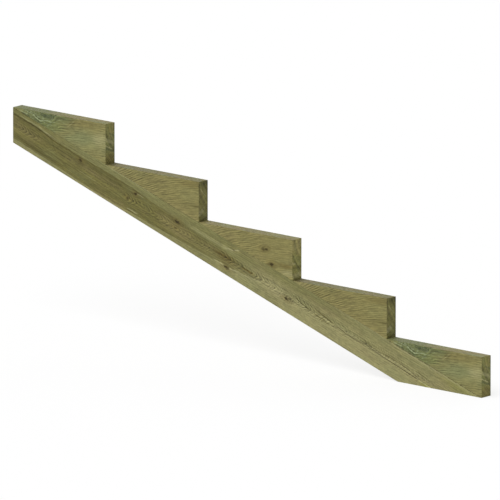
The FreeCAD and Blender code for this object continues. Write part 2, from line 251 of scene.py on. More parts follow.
# Lines on the beam's front: finish, strength, half width, and points along and across
BEAM_LINES = [
    # This dark line along the upper edge by the head is painted shade in the joint under the top block
    ("knot", 0.70, 0.0016, [(-0.04, 0.0006), (0.140, 0.0006)]),
    ("pale_streak", 0.55, 0.0030, [(0.370, 0.0010), (0.620, 0.0010)]),
    ("pale_streak", 0.35, 0.0028, [(1.330, 0.0010), (1.600, 0.0010)]),
    ("pale_streak", 0.38, 0.0045, [(1.540, 0.0048), (2.000, 0.0048)]),
    # These two dark lines along the upper edge by the foot are painted shade in the joint under the lowest
    # block
    ("knot", 0.65, 0.0015, [(1.560, 0.0006), (2.020, 0.0006)]),
    ("knot", 0.50, 0.0018, [(1.570, 0.0006), (1.710, 0.0006)]),
    ("heart_edge", 0.95, 0.0031, [(-0.06, 0.0185), (0.100, 0.0172), (0.190, 0.0252), (0.340, 0.0245)]),
    ("heart_edge", 0.60, 0.0031, [(0.230, 0.0255), (0.400, 0.0225), (0.520, 0.0222), (0.640, 0.0290)]),
    ("pale_streak", 0.40, 0.0034, [(0.020, 0.0115), (0.110, 0.0115), (0.200, 0.0190)]),
    ("heart_edge", 0.50, 0.0066, [(0.020, 0.0825), (0.120, 0.0840), (0.270, 0.0850)]),
    ("heart_edge", 0.40, 0.0030, [(0.150, 0.0665), (0.200, 0.0690), (0.260, 0.0730)]),
    ("pale_streak", 0.15, 0.0026, [(0.290, 0.0650), (0.340, 0.0690), (0.390, 0.0680)]),
    ("heart_edge", 0.35, 0.0042, [(0.300, 0.0345), (0.540, 0.0345)]),
    ("pale_streak", 0.45, 0.0022, [(0.535, 0.0290), (0.570, 0.0275)]),
    ("pale_streak", 0.65, 0.0026, [(0.510, 0.0885), (0.565, 0.0880)]),
    ("heart_edge", 0.95, 0.0024, [(0.512, 0.0925), (0.560, 0.0920)]),
    ("pale_streak", 0.25, 0.0080, [(0.740, 0.0270), (0.860, 0.0275), (0.980, 0.0225)]),
    ("pale_streak", 0.78, 0.0024, [(0.875, 0.0815), (0.930, 0.0790)]),
    ("pale_streak", 0.78, 0.0026, [(0.938, 0.0800), (0.960, 0.0780), (0.990, 0.0715)]),
    ("pale_streak", 0.60, 0.0024, [(0.905, 0.0270), (0.930, 0.0230), (0.950, 0.0185)]),
    ("pale_streak", 0.65, 0.0036, [(0.940, 0.0200), (0.968, 0.0080)]),
    ("brown_streak", 0.95, 0.0038, [(0.870, 0.0535), (0.955, 0.0525)]),
    ("brown_streak", 0.91, 0.0036, [(0.985, 0.0545), (1.045, 0.0525)]),
    ("pale_streak", 0.40, 0.0028, [(0.980, 0.0765), (1.055, 0.0665), (1.090, 0.0580)]),
    ("pale_streak", 0.59, 0.0022, [(1.060, 0.0480), (1.120, 0.0520)]),
    ("pale_streak", 0.59, 0.0022, [(1.090, 0.0400), (1.180, 0.0480)]),
    ("pale_streak", 0.52, 0.0022, [(1.110, 0.0600), (1.175, 0.0585)]),
    ("heart_edge", 0.80, 0.0022, [(1.200, 0.0400), (1.235, 0.0500), (1.290, 0.0565)]),
    ("pale_streak", 0.72, 0.0022, [(1.205, 0.0460), (1.240, 0.0545), (1.270, 0.0600)]),
    ("heart_edge", 0.85, 0.0024, [(1.295, 0.0420), (1.380, 0.0530)]),
    ("pale_streak", 0.65, 0.0022, [(1.300, 0.0480), (1.370, 0.0570)]),
    ("heart_edge", 0.78, 0.0024, [(1.290, 0.0575), (1.350, 0.0580)]),
    ("heart_edge", 0.59, 0.0022, [(1.315, 0.0640), (1.370, 0.0635)]),
    ("pale_streak", 0.65, 0.0024, [(1.375, 0.0505), (1.440, 0.0515), (1.500, 0.0500)]),
    ("heart_edge", 0.50, 0.0024, [(1.490, 0.0440), (1.545, 0.0515)]),
    ("pale_streak", 0.60, 0.0024, [(1.505, 0.0500), (1.560, 0.0570), (1.640, 0.0545)]),
    ("heart_edge", 0.59, 0.0022, [(1.580, 0.0480), (1.650, 0.0480)]),
    ("pale_streak", 0.65, 0.0022, [(1.600, 0.0510), (1.680, 0.0530), (1.740, 0.0560)]),
    ("heart_edge", 0.45, 0.0022, [(1.715, 0.0380), (1.790, 0.0500)]),
    ("pale_streak", 0.60, 0.0022, [(1.680, 0.0400), (1.740, 0.0470), (1.800, 0.0540)]),
    ("pale_streak", 0.80, 0.0030, [(1.710, 0.0590), (1.745, 0.0625), (1.800, 0.0650)]),
]
# Lines on a block's sawn end: finish, strength, half width, and points through and down
END_LINES = {
    "swirl": [
        ("pale_streak", 0.80, 0.0022, [(-0.030, 0.0630), (0.018, 0.0850)]),
        ("deep_stain", 0.55, 0.0045, [(-0.030, 0.0710), (0.026, 0.0940)]),
        ("pale_streak", 0.42, 0.0085, [(-0.050, 0.0360), (0.034, 0.0720)]),
        ("deep_stain", 0.45, 0.0060, [(-0.016, 0.0240), (0.040, 0.0530)]),
    ],
    "wavy": [
        ("pale_streak", 0.40, 0.0030, [(-0.018, 0.0180), (0.014, 0.0520)]),
        ("heart_edge", 0.70, 0.0065, [(-0.004, 0.0000), (0.014, 0.0260), (0.026, 0.0600)]),
        ("pale_streak", 0.55, 0.0120, [(-0.060, 0.1080), (-0.014, 0.0990), (0.010, 0.0840)]),
        ("heart_edge", 0.60, 0.0060, [(-0.044, 0.1310), (0.000, 0.1210), (0.044, 0.1060)]),
    ],
    "knotty": [
        ("pale_streak", 0.45, 0.0040, [(-0.024, 0.0730), (-0.004, 0.0760)]),
        ("heart_edge", 0.50, 0.0075, [(-0.040, 0.0850), (0.040, 0.0880)]),
        ("pale_streak", 0.35, 0.0120, [(-0.044, 0.1180), (0.006, 0.1120), (0.044, 0.1000)]),
    ],
}
# Bright and dark fibres round the large knot of a swirled block, with points along and down
SWIRL_LINES = [
    ("pale_green", 0.75, 0.0020,
     [(0.036, -0.0230), (0.066, 0.0000), (0.090, 0.0190), (0.109, 0.0255), (0.143, 0.0230),
      (0.182, 0.0245)]),
    ("pale_green", 0.55, 0.0016, [(0.050, -0.0150), (0.072, 0.0000), (0.098, 0.0150), (0.118, 0.0190)]),
    ("pale_green", 0.45, 0.0018, [(0.124, 0.0290), (0.168, 0.0350)]),
    ("pale_green", 0.58, 0.0022, [(0.024, 0.0030), (0.066, 0.0160)]),
    ("pale_green", 0.66, 0.0020, [(0.040, 0.0010), (0.078, 0.0110)]),
    ("deep_stain", 0.60, 0.0020, [(0.084, 0.0225), (0.112, 0.0310), (0.160, 0.0285), (0.184, 0.0300)]),
    ("deep_stain", 0.75, 0.0020, [(0.030, 0.0085), (0.074, 0.0215)]),
    ("deep_stain", 0.70, 0.0018, [(0.050, 0.0005), (0.088, 0.0120)]),
    ("brown_streak", 0.55, 0.0016, [(0.212, 0.0300), (0.232, 0.0170), (0.246, 0.0040)]),
    ("brown_streak", 0.50, 0.0016, [(0.222, 0.0330), (0.244, 0.0200), (0.262, 0.0050)]),
    ("pale_streak", 0.40, 0.0016, [(0.217, 0.0320), (0.238, 0.0185), (0.254, 0.0040)]),
]

# Where a mark on the beam is nothing and where it is full: distances from the pith, then places along or
# across
ARROW_REACH = (0.020, 0.008)
ARROW_TIP = (0.007, 0.002)
COMB_REACH = (0.026, 0.010)
RING_REACH = (0.026, 0.006)
BELOW_PITH = (-0.002, 0.007)
HEART_END = (1.090, 0.990)
HEART_PALES = (0.60, 1.05)
HEART_SOFTENS = (0.55, 0.85)
MIDDLE_DEPTH = (0.012, 0.040)
MIDDLE_START = (0.90, 1.10)
LOWER_EDGE = (0.072, 0.096)
# The same on the blocks, along, across, through or from the pith of the sawn end
PALE_TIP = (0.110, 0.020)
# Painted shade on a wavy block's tread, in the corner under the riser of the block above: nothing and full,
# along
TREAD_CORNER_SHADE = (0.050, 0.005)
THIN_END = (0.0, 0.10)
STAINED_TREAD = (0.24, 0.10)
DARK_TOP = (0.024, 0.010)
# Painted shade along the back edge of a block's sawn end, whose arris lies in shadow: nothing and full,
# through
END_EDGE_SHADE = (0.014, 0.021)
DARK_RINGS = (0.105, 0.080)
# Where a band starts, is full, fades and ends: along the beam, along a block, then as shares of a growth ring
# and of an arrowhead's pitch
DULL_EDGE = (0.60, 0.80, 1.05, 1.30)
CLEAR_LINES = (0.02, 0.10, 0.16, 0.34)
LATE_WOOD = (0.30, 0.80, 0.90, 1.0)
ARROW_DARK = (0.45, 0.80, 0.92, 1.0)
ARROW_LIGHT = (0.0, 0.10, 0.20, 0.40)

# Patches on the beam: finish, strength, gain of the strength with the streaks, place along and across, reach
# along and across, and the share of the reach that is full
BEAM_PATCHES = [
    ("brown_streak", 0.80, 2, (0.920, 0.056), (0.070, 0.020), 0.1),
    ("heart_edge", 0.40, 2, (1.020, 0.057), (0.070, 0.012), 0.0),
    ("pale_streak", 0.28, 0, (1.140, 0.061), (0.100, 0.022), 0.2),
    ("moss", 0.75, 0, (1.766, 0.066), (0.044, 0.012), 0.1),
    ("moss", 0.375, 0, (1.880, 0.010), (0.110, 0.030), 0.1),
]
# The same on each kind of block
BLOCK_PATCHES = {
    "swirl": [
        ("brown_streak", 0.26, 0, (0.270, 0.012), (0.130, 0.024), 0.1),
        ("brown_streak", 0.26, 0, (0.375, 0.122), (0.036, 0.014), 0.1),
        ("pale_streak", 0.40, 0, (0.352, 0.055), (0.045, 0.034), 0.2),
    ],
    "wavy": [
        ("heart_edge", 0.60, 0, (0.360, 0.078), (0.040, 0.004), 0.2),
        ("brown_streak", 0.36, 0.6, (0.360, 0.012), (0.100, 0.022), 0.2),
    ],
    "knotty": [
        ("brown_streak", 0.56, 1.6, (0.338, 0.084), (0.060, 0.012), 0.2),
        ("pale_streak", 0.40, 0, (0.356, 0.107), (0.042, 0.014), 0.3),
    ],
}
# The same where the stain of the large knot runs off
RUNOFF_PATCHES = [
    ("stain", 0.55, 0, (0.165, 0.032), (0.060, 0.026), 0.2),
    ("moss", 0.22, 0, (0.165, 0.032), (0.060, 0.026), 0.2),
]
# Centre and reach of the large knot's whorl, of its dark middle and of the green wood near it
WHORL = ((0.130, -0.010, 0), (0.080, 0.042, 0))
DARK_KNOT = ((0.138, 0.003, 0), (0.046, 0.017, 0))
GREEN_PATCH = ((0.290, 0.062, 0), (0.130, 0.046, 0))
# Bands across a block's sawn end: finish, strength, and the depths where it starts, is full, fades and ends
END_BANDS = {
    "swirl": [
        ("stain", 0.30, (0.030, 0.050, 0.075, 0.095)),
        ("brown_streak", 0.40, (0.090, 0.105, 0.130, 0.140)),
    ],
    "wavy": [],
    "knotty": [("warm_wood", 0.30, (-0.020, -0.010, 0.020, 0.060))],
}

# Kinds of step block: shift of the noise, bend of the grain, levels of the side, the tread and the sawn end,
# share of clear lines near the thin end, and knots
BLOCK_LOOKS = {
    "swirl": SimpleNamespace(
        shift=(0, 0, 0), bend=0.20, side=0.98, tread=0.86, end=1.10, clear=0.3, knots=[]
    ),
    "wavy": SimpleNamespace(
        shift=(5, 3, 1), bend=0.60, side=0.965, tread=0.74, end=0.95, clear=1.0, knots=[]
    ),
    "knotty": SimpleNamespace(
        shift=(9, 6, 4), bend=0.42, side=0.97, tread=0.88, end=1.34, clear=0.4, knots=BLOCK_KNOTS
    ),
}
# Kind of each step block, counted from the ground, and of any more
BLOCK_KINDS = {1: "swirl", 2: "wavy", 3: "knotty", 4: "wavy", 5: "swirl"}
OTHER_BLOCKS = "wavy"


def linear(screen_colour):
    """A screen colour from 0 to 255 as linear light."""
    share = np.array(screen_colour) / 255
    light = np.where(share <= 0.04045, share / 12.92, ((share + 0.055) / 1.055) ** 2.4)
    return tuple(light.tolist())


def opaque(colour):
    """A colour with full cover."""
    return (*colour, 1.0)


def length_property(name, description, default):
    """A length in metres for the sidebar."""
    return FloatProperty(
        name=name, description=description, default=default, min=0, unit="LENGTH", precision=4
    )


def angle_property(name, description, degrees):
    """An angle for the sidebar, from degrees."""
    return FloatProperty(name=name, description=description, default=math.radians(degrees), unit="ROTATION")


def strength_property(name, description, default):
    """A strength of light for the sidebar."""
    return FloatProperty(name=name, description=description, default=default, min=0)


def colour_property(name, description, screen_colour):
    """A colour for the sidebar, from its screen values."""
    return FloatVectorProperty(
        name=name, description=description, default=linear(screen_colour), min=0, max=1, subtype="COLOR"
    )


class StringerSizes(bpy.types.PropertyGroup):
    """Sizes of the stringer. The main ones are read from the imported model."""

    step_count: IntProperty(
        name="Steps", description="Number of steps", default=round(CAD_HIGH.z / RISE), min=1
    )
    step_rise: length_property("Rise", "Height of one step", RISE)
    step_going: length_property("Going", "Level length of one step", GOING)
    thickness: length_property("Thickness", "Thickness of the timber", CAD_HIGH.y - CAD_LOW.y)
    beam_depth: length_property("Beam depth", "Depth of the beam, square to its slope", BEAM_DEPTH)
    beam_arris: length_property("Beam arris", "Rounding of the beam's long edges", 0.0025)
    tread_arris: length_property("Tread arris", "Rounding of a block's upper edges", 0.002)
    counterbore: length_property("Counterbore", "Diameter of the screws' counterbores", 0.016)
    block_sinking: length_property("Sinking, blocks", "Depth of the counterbores in the underside", 0.020)
    foot_sinking: length_property("Sinking, foot", "Depth of the counterbores in the foot", 0.012)
    thread_pitch: length_property("Thread pitch", "Pitch of the screws' thread", 0.004)


class StringerFinish(bpy.types.PropertyGroup):
    """Colours of the timber and the screws."""

    olive_sapwood: colour_property("Olive sapwood", "Sapwood near the head of the beam", (113, 111, 64))
    pale_sapwood: colour_property("Pale sapwood", "Bleached sapwood near the beam's foot", (147, 142, 97))
    heartwood: colour_property("Heartwood", "Dark heart of the beam", (106, 101, 54))
    heart_edge: colour_property("Heart edge", "Dark lines along the heart", (82, 76, 34))
    block_wood: colour_property("Block wood", "Side of a step block", (133, 126, 77))
    green_wood: colour_property("Green wood", "Wood stained green by the treatment", (124, 130, 88))
    warm_wood: colour_property("Warm wood", "Wood that the treatment left pink", (146, 131, 92))
    stain: colour_property("Stain", "Stain round a large knot", (101, 111, 71))
    deep_stain: colour_property("Deep stain", "Heaviest stain, at a large knot", (76, 84, 55))
    pale_green: colour_property("Pale green", "Bright fibres in the stain", (150, 160, 122))
    moss: colour_property("Moss", "Yellow-green wood by the foot", (134, 134, 62))
    knot: colour_property("Knot", "Heart of a knot", (54, 44, 15))
    brown_streak: colour_property("Brown streak", "Resin streaks and halos of knots", (104, 90, 42))
    pale_streak: colour_property("Pale streak", "Torn fibres and fresh edges", (168, 163, 118))
    end_grain: colour_property("End grain", "Sawn ends", (121, 118, 64))
    tread: colour_property("Tread", "Upper faces of the step blocks", (127, 120, 73))
    steel: colour_property("Steel", "Satin screws", (196, 194, 188))


class StringerStage(bpy.types.PropertyGroup):
    """Camera, floor and light."""

    azimuth: angle_property("Azimuth", "Turn of the camera from -Y towards +X", 40.8454)
    elevation: angle_property("Elevation", "Height of the camera above the horizon", 12.7618)
    picture_width: length_property("Picture width", "Width of the picture at the object", 1.51371)
    aim_up: length_property("Aim up", "Shift of the aim upwards in the picture", 0.0007)
    floor: colour_property("Floor", "Plain floor", (253, 253, 253))
    key_strength: strength_property("Key", "Strength of the key light", 2.0)
    fill_strength: strength_property("Fill", "Strength of the low light from behind", 0.8)
    sky_strength: strength_property("Sky", "Strength of the light from all round", 0.41)


# Meshes


def quads_of(number):
    """Quads between neighbours of a two-way table of node numbers, turning from rows towards columns."""
    corners = [number[:-1, :-1], number[1:, :-1], number[1:, 1:], number[:-1, 1:]]
    return np.stack(corners, axis=-1).reshape(-1, 4)


def box_skin(along, across, through, feather=False):
    """The skin of a grid box: the parameters of its nodes, its quads, and the side that each quad lies on.

    Nodes of the three-way grid that lie on a face are numbered once, so the six sides share their edges. With
    feather the first layer along is one row of nodes, the thin edge of a wedge, and has no face of its own.
    """
    counts = np.array([len(along), len(across), len(through)])
    index = np.stack(np.meshgrid(*[np.arange(count) for count in counts], indexing="ij"), axis=-1)
    on_skin = ((index == 0) | (index == counts - 1)).any(axis=-1)
    if feather:
        on_skin[0, 1:] = False
    number = np.zeros(counts, int)
    number[on_skin] = np.arange(on_skin.sum())
    if feather:
        number[0] = number[0, :1]
    sheets = [number[0], number[-1], number[:, 0], number[:, -1], number[:, :, 0], number[:, :, -1]]
    quads, sides = [], []
    for side, sheet in enumerate(sheets):
        if feather and side == HEAD_SIDE:
            continue
        faces = quads_of(sheet)
        quads.append(faces[:, ::-1] if side in (HEAD_SIDE, UNDER_SIDE, FRONT_SIDE) else faces)
        sides.append(np.full(len(faces), side))
    rows, columns, layers = index[on_skin].T
    nodes = np.stack([along[rows], across[columns], through[layers]], axis=1)
    return nodes, np.concatenate(quads), np.concatenate(sides)


def put_mesh(name, points, quads):
    """A mesh object at the origin. A corner that repeats the one before is left out, which closes poles."""
    kept = quads != np.roll(quads, 1, axis=1)
    starts = np.concatenate(([0], np.cumsum(kept.sum(axis=1))[:-1]))
    corners = quads[kept]
    mesh = bpy.data.meshes.new(name)
    mesh.vertices.add(len(points))
    mesh.vertices.foreach_set("co", points.astype(np.float32).ravel())
    mesh.loops.add(len(corners))
    mesh.loops.foreach_set("vertex_index", corners.astype(np.int32))
    mesh.polygons.add(len(quads))
    mesh.polygons.foreach_set("loop_start", starts.astype(np.int32))
    mesh.update(calc_edges=True)
    if mesh.validate():
        raise RuntimeError(f"the mesh of {name} has faults")
    mesh.shade_smooth()
    mesh.set_sharp_from_angle(angle=SHARP_ANGLE)
    piece = bpy.data.objects.new(name, mesh)
    bpy.context.scene.collection.objects.link(piece)
    return piece


def mark_timber(piece, grain, sides):
    """Keep the place in the timber at each node, and at each face if it is a sawn end or the upper face."""
    places = piece.data.attributes.new("grain", "FLOAT_VECTOR", "POINT")
    places.data.foreach_set("vector", grain.astype(np.float32).ravel())
    ends = (sides == HEAD_SIDE) | (sides == FOOT_SIDE)
    cuts = np.stack([ends, sides == TOP_SIDE, np.zeros_like(ends)], axis=1)
    faces = piece.data.attributes.new("cut", "FLOAT_VECTOR", "FACE")
    faces.data.foreach_set("vector", cuts.astype(np.float32).ravel())


def lines_with(base, extra, gap):
    """Base lines with extra ones put in. A base line nearer to an extra one than the gap is left out."""
    clear = np.abs(base[:, None] - extra[None, :]).min(axis=1) > gap
    return np.unique(np.concatenate([base[clear], extra]))


def rounded(first, second, radius):
    """Two distances inwards from the faces at a corner, moved so that the corner is round.

    Inside the square of the radius, the offset from the arc's centre is scaled by its larger part over its
    length, which turns squares about that centre into circles.
    """
    one, two = np.minimum(first - radius, 0), np.minimum(second - radius, 0)
    reach = np.maximum(-one, -two)
    length = np.maximum(np.hypot(one, two), TINY)
    share = np.where((one < 0) & (two < 0), reach / length, 1)
    return first + one * (share - 1), second + two * (share - 1)


def smooth_step(value, low, high):
    """0 below low, 1 above high, and an S curve between them."""
    share = np.clip((value - low) / (high - low), 0, 1)
    return share * share * (3 - 2 * share)


def counterbored(place, through, centres, radius, depth):
    """Draw square rings of nodes round each centre into circles, and push those inside the rim in.

    A node's ring is the larger of its two offsets from the centre, and the rim is the ring at the radius. The
    next ring in becomes the foot of the wall, at almost the same radius, and the rings outside fade back to
    squares at twice the radius.
    """
    centre = centres[np.abs(place[:, None] - centres).argmin(axis=1)]
    offset = place - centre
    larger = np.maximum(np.abs(offset), np.abs(through))
    length = np.maximum(np.hypot(offset, through), TINY)
    inside = larger < INSIDE_RIM * radius
    faded = larger + (length - larger) * smooth_step(larger, radius, 2 * radius)
    share = np.where(inside, larger / WALL_RING * WALL_TAPER, faded) / length
    return centre + offset * share, through * share, np.where(inside, depth, 0)


def knot_dishes(along, across, knots):
    """Depth of the shallow dishes at knots: a bell in the distance from each knot, in its own radii."""
    depth = np.zeros_like(along)
    for place, line, half_length, half_width, _ in knots:
        away = ((along - place) / half_length) ** 2 + ((across - line) / half_width) ** 2
        depth += KNOT_DISH * np.exp(-away)
    return depth


def check_grooves(along, across):
    """Depth of the drying checks: a bell across each one's line, fading out at its ends."""
    depth = np.zeros_like(along)
    for points in CHECKS:
        place, line = np.array(points).T
        share = smooth_step(along, place[0], place[0] + CHECK_FADE)
        share = share * (1 - smooth_step(along, place[-1] - CHECK_FADE, place[-1]))
        away = (across - np.interp(along, place, line)) / CHECK_HALF_WIDTH
        depth = np.maximum(depth, CHECK_DEPTH * share * np.exp(-(away ** 2)))
    return depth


def level_line(direction):
    """Unit vector square to a direction, in the plane of the flight."""
    return np.array([direction[2], 0, -direction[0]])


def screw_places(node):
    """Centre, lowest and highest place of each screw in a CAD node, a row for each, from its vertices.

    The centre is a place on the level line, and the others are along the screws' direction. The vertices are
    sorted along the level line, and a gap there parts two screws.
    """
    direction = SCREW_DIRECTIONS[node]
    mesh = frame["nodes"][node].data
    points = np.empty(len(mesh.vertices) * 3)
    mesh.vertices.foreach_get("co", points)
    points = points.reshape(-1, 3)
    beside, height = points @ level_line(direction), points @ direction
    order = np.argsort(beside)
    breaks = np.flatnonzero(np.diff(beside[order]) > SCREW_GAP) + 1
    groups = np.split(order, breaks)
    ends = np.array([(beside[group[0]], beside[group[-1]]) for group in groups])
    heights = np.array([(height[group].min(), height[group].max()) for group in groups])
    return np.column_stack([ends.mean(axis=1), heights])


def beam_mesh(sizes):
    """The carriage beam: place along s, depth q below the upper edge and place y through the timber.

    At depth q the beam runs from the plumb cut, s = q tan(slope), to the level cut,
    s = length - q / tan(slope). The long edges are rounded, the checks and the knots are sunk into the sides,
    and the counterbores into the underside and the foot.
    """
    depth, half, radius = sizes.beam_depth, sizes.thickness / 2, sizes.counterbore / 2
    sine, tangent = math.sin(SLOPE), math.tan(SLOPE)
    head = np.array([CAD_LOW.x, 0, CAD_HIGH.z])
    length = (CAD_HIGH.z - CAD_LOW.z) / sine
    start, end = depth * tangent, length - depth / tangent

    block_holes = screw_places("block_screws")[:, 0] - head @ DOWN_SLOPE
    foot_holes = CAD_HIGH.x - screw_places("foot_screws")[:, 0]
    hole_steps = HOLE_RINGS * radius
    hole_lines = ((block_holes[:, None] + hole_steps).ravel() - start) / (end - start)
    foot_lines = (foot_holes[:, None] + hole_steps).ravel() * sine
    edge_lines = ROUNDING_STEPS * sizes.beam_arris
    along = lines_with(np.linspace(0, 1, BEAM_GRID[0]), hole_lines, HOLE_LINE_GAP / (end - start))
    across = np.linspace(0, depth, BEAM_GRID[1])
    across = lines_with(across, np.concatenate([edge_lines, depth - edge_lines]), EDGE_LINE_GAP)
    across = lines_with(across, CHECK_LINES, CHECK_LINE_GAP)
    across = lines_with(across, foot_lines, FOOT_LINE_GAP)
    through = np.unique(np.concatenate([hole_steps, edge_lines - half, half - edge_lines]).round(7))

    nodes, quads, sides = box_skin(along, across, through)
    share, q, y = nodes.T
    on_foot, on_under = share == 1, q == across[-1]
    on_side, side_sign = np.abs(y) == through[-1], np.sign(y)

    q, near = rounded(q, half - np.abs(y), sizes.beam_arris)
    from_under, near = rounded(depth - q, near, sizes.beam_arris)
    q, y = depth - from_under, side_sign * (half - near)

    foot_place, foot_y, foot_sink = counterbored(q / sine, y, foot_holes, radius, sizes.foot_sinking)
    q, y = np.where(on_foot, foot_place * sine, q), np.where(on_foot, foot_y, y)
    first, last = q * tangent, length - q / tangent
    s = first + (last - first) * share
    under_place, under_y, under_sink = counterbored(s, y, block_holes, radius, sizes.block_sinking)
    s, y = np.where(on_under, under_place, s), np.where(on_under, under_y, y)
    grain = np.stack([s, q, y], axis=1)

    groove = np.where(side_sign < 0, check_grooves(s, q), 0) + knot_dishes(s, q, BEAM_KNOTS)
    y = y - side_sign * np.where(on_side, groove, 0)
    q = q - np.where(on_under, under_sink, 0)
    points = head + s[:, None] * DOWN_SLOPE - q[:, None] * OFF_SLOPE
    points[:, 1] = y
    points[:, 2] += np.where(on_foot, foot_sink, 0)
    piece = put_mesh("carriage_beam_planed", points, quads)
    mark_timber(piece, grain, sides)
    return piece


def block_kind(number):
    """Kind of a step block, counted from the ground."""
    return BLOCK_KINDS.get(number, OTHER_BLOCKS)


def block_mesh(sizes, number):
    """A step block: place x from the thin end, depth d below the tread and place y through the timber.

    The depth of the wedge grows with x to the rise, and d is a share of it. The share is a power of its
    parameter, so the lines lie closer near the tread, whose long edges are rounded.
    """
    half, going, rise = sizes.thickness / 2, sizes.step_going, sizes.step_rise
    along = np.linspace(0, 1, BLOCK_GRID[0])
    across = np.linspace(0, 1, BLOCK_GRID[1]) ** TREAD_POWER
    edge_lines = ROUNDING_STEPS * sizes.tread_arris
    edge_lines = np.concatenate([edge_lines - half, half - edge_lines])
    through = lines_with(np.linspace(-half, half, BLOCK_GRID[2]), edge_lines, EDGE_LINE_GAP)
    nodes, quads, sides = box_skin(along, across, through, feather=True)
    share, drop, y = nodes.T
    on_side, side_sign = np.abs(y) == through[-1], np.sign(y)

    deep = rise * share
    arris = np.minimum(sizes.tread_arris, deep)
    d, near = rounded(drop * deep, half - np.abs(y), np.maximum(arris, TINY))
    y = side_sign * (half - near)
    x = going * share
    grain = np.stack([x, d, y], axis=1)
    knots = BLOCK_LOOKS[block_kind(number)].knots
    y = y - side_sign * np.where(on_side, knot_dishes(x, d, knots), 0)
    nosing_x, nosing_z = CAD_HIGH.x - (number - 1) * going, number * rise
    points = np.stack([nosing_x - going + x, y, nosing_z - d], axis=1)
    piece = put_mesh(f"step_block_{number}_planed", points, quads)
    mark_timber(piece, grain, sides)
    return piece


def screw_profile(length):
    """Rows of a screw's surface from the middle of its recess to its point, for a length below the head.

    Each row has a radius, a place along the axis from the face of the head, a share of the recess's lobes and
    a share of the thread.
    """
    tip = HEAD_HEIGHT + length
    plain_end = tip - THREAD_LENGTH
    rows = np.linspace(plain_end, tip, THREAD_ROWS)
    point = np.clip((tip - rows) / POINT_LENGTH, 0, 1)
    thread = smooth_step(rows, plain_end, plain_end + THREAD_RUN_IN) * point
    shank = 1 - smooth_step(rows, plain_end, plain_end + SHANK_RUN_OUT)
    core = CORE_RADIUS * point + (SHANK_RADIUS - CORE_RADIUS) * shank
    return np.concatenate([HEAD_ROWS, np.stack([core, rows, np.zeros_like(core), thread], axis=1)])


def screws_mesh(node, pitch):
    """The screws of a CAD node with a six-lobed recess and a thread, each a profile turned about its axis.

    The recess's radius swings with six waves in a turn. The thread is a ridge whose place along the axis
    rises by one pitch in a turn.
    """
    places, direction = screw_places(node), SCREW_DIRECTIONS[node]
    sideways, level = level_line(direction), np.array([0, 1, 0])
    turn = np.arange(SCREW_COLUMNS) * FULL_TURN / SCREW_COLUMNS
    _, lowest, highest = places[0]
    rows = screw_profile(highest - lowest - HEAD_HEIGHT)
    radius, axial, lobes, thread = rows.T
    phase = (axial[:, None] / pitch - turn / FULL_TURN) % 1
    ridge = np.clip(1 - np.abs(phase - 0.5) / THREAD_HALF_WIDTH, 0, 1)
    wide = radius[:, None] * (1 + LOBE_SWING * lobes[:, None] * np.cos(RECESS_LOBES * turn))
    wide = wide + thread[:, None] * THREAD_HEIGHT * ridge
    wide[[0, -1]] = 0
    ring = np.cos(turn)[:, None] * sideways + np.sin(turn)[:, None] * level
    local = wide[..., None] * ring + axial[:, None, None] * direction
    flat = np.concatenate([local[:1, 0], local[1:-1].reshape(-1, 3), local[-1:, 0]])

    number = np.zeros((len(rows), SCREW_COLUMNS + 1), int)
    number[1:-1, :-1] = 1 + np.arange((len(rows) - 2) * SCREW_COLUMNS).reshape(-1, SCREW_COLUMNS)
    number[1:-1, -1] = number[1:-1, 0]
    number[-1] = len(flat) - 1
    faces = places[:, :1] * sideways + places[:, 1:2] * direction
    points = (faces[:, None] + flat).reshape(-1, 3)
    quads = (np.arange(len(places))[:, None, None] * len(flat) + quads_of(number)).reshape(-1, 4)
    return put_mesh(f"{node}_driven", points, quads)


# Materials


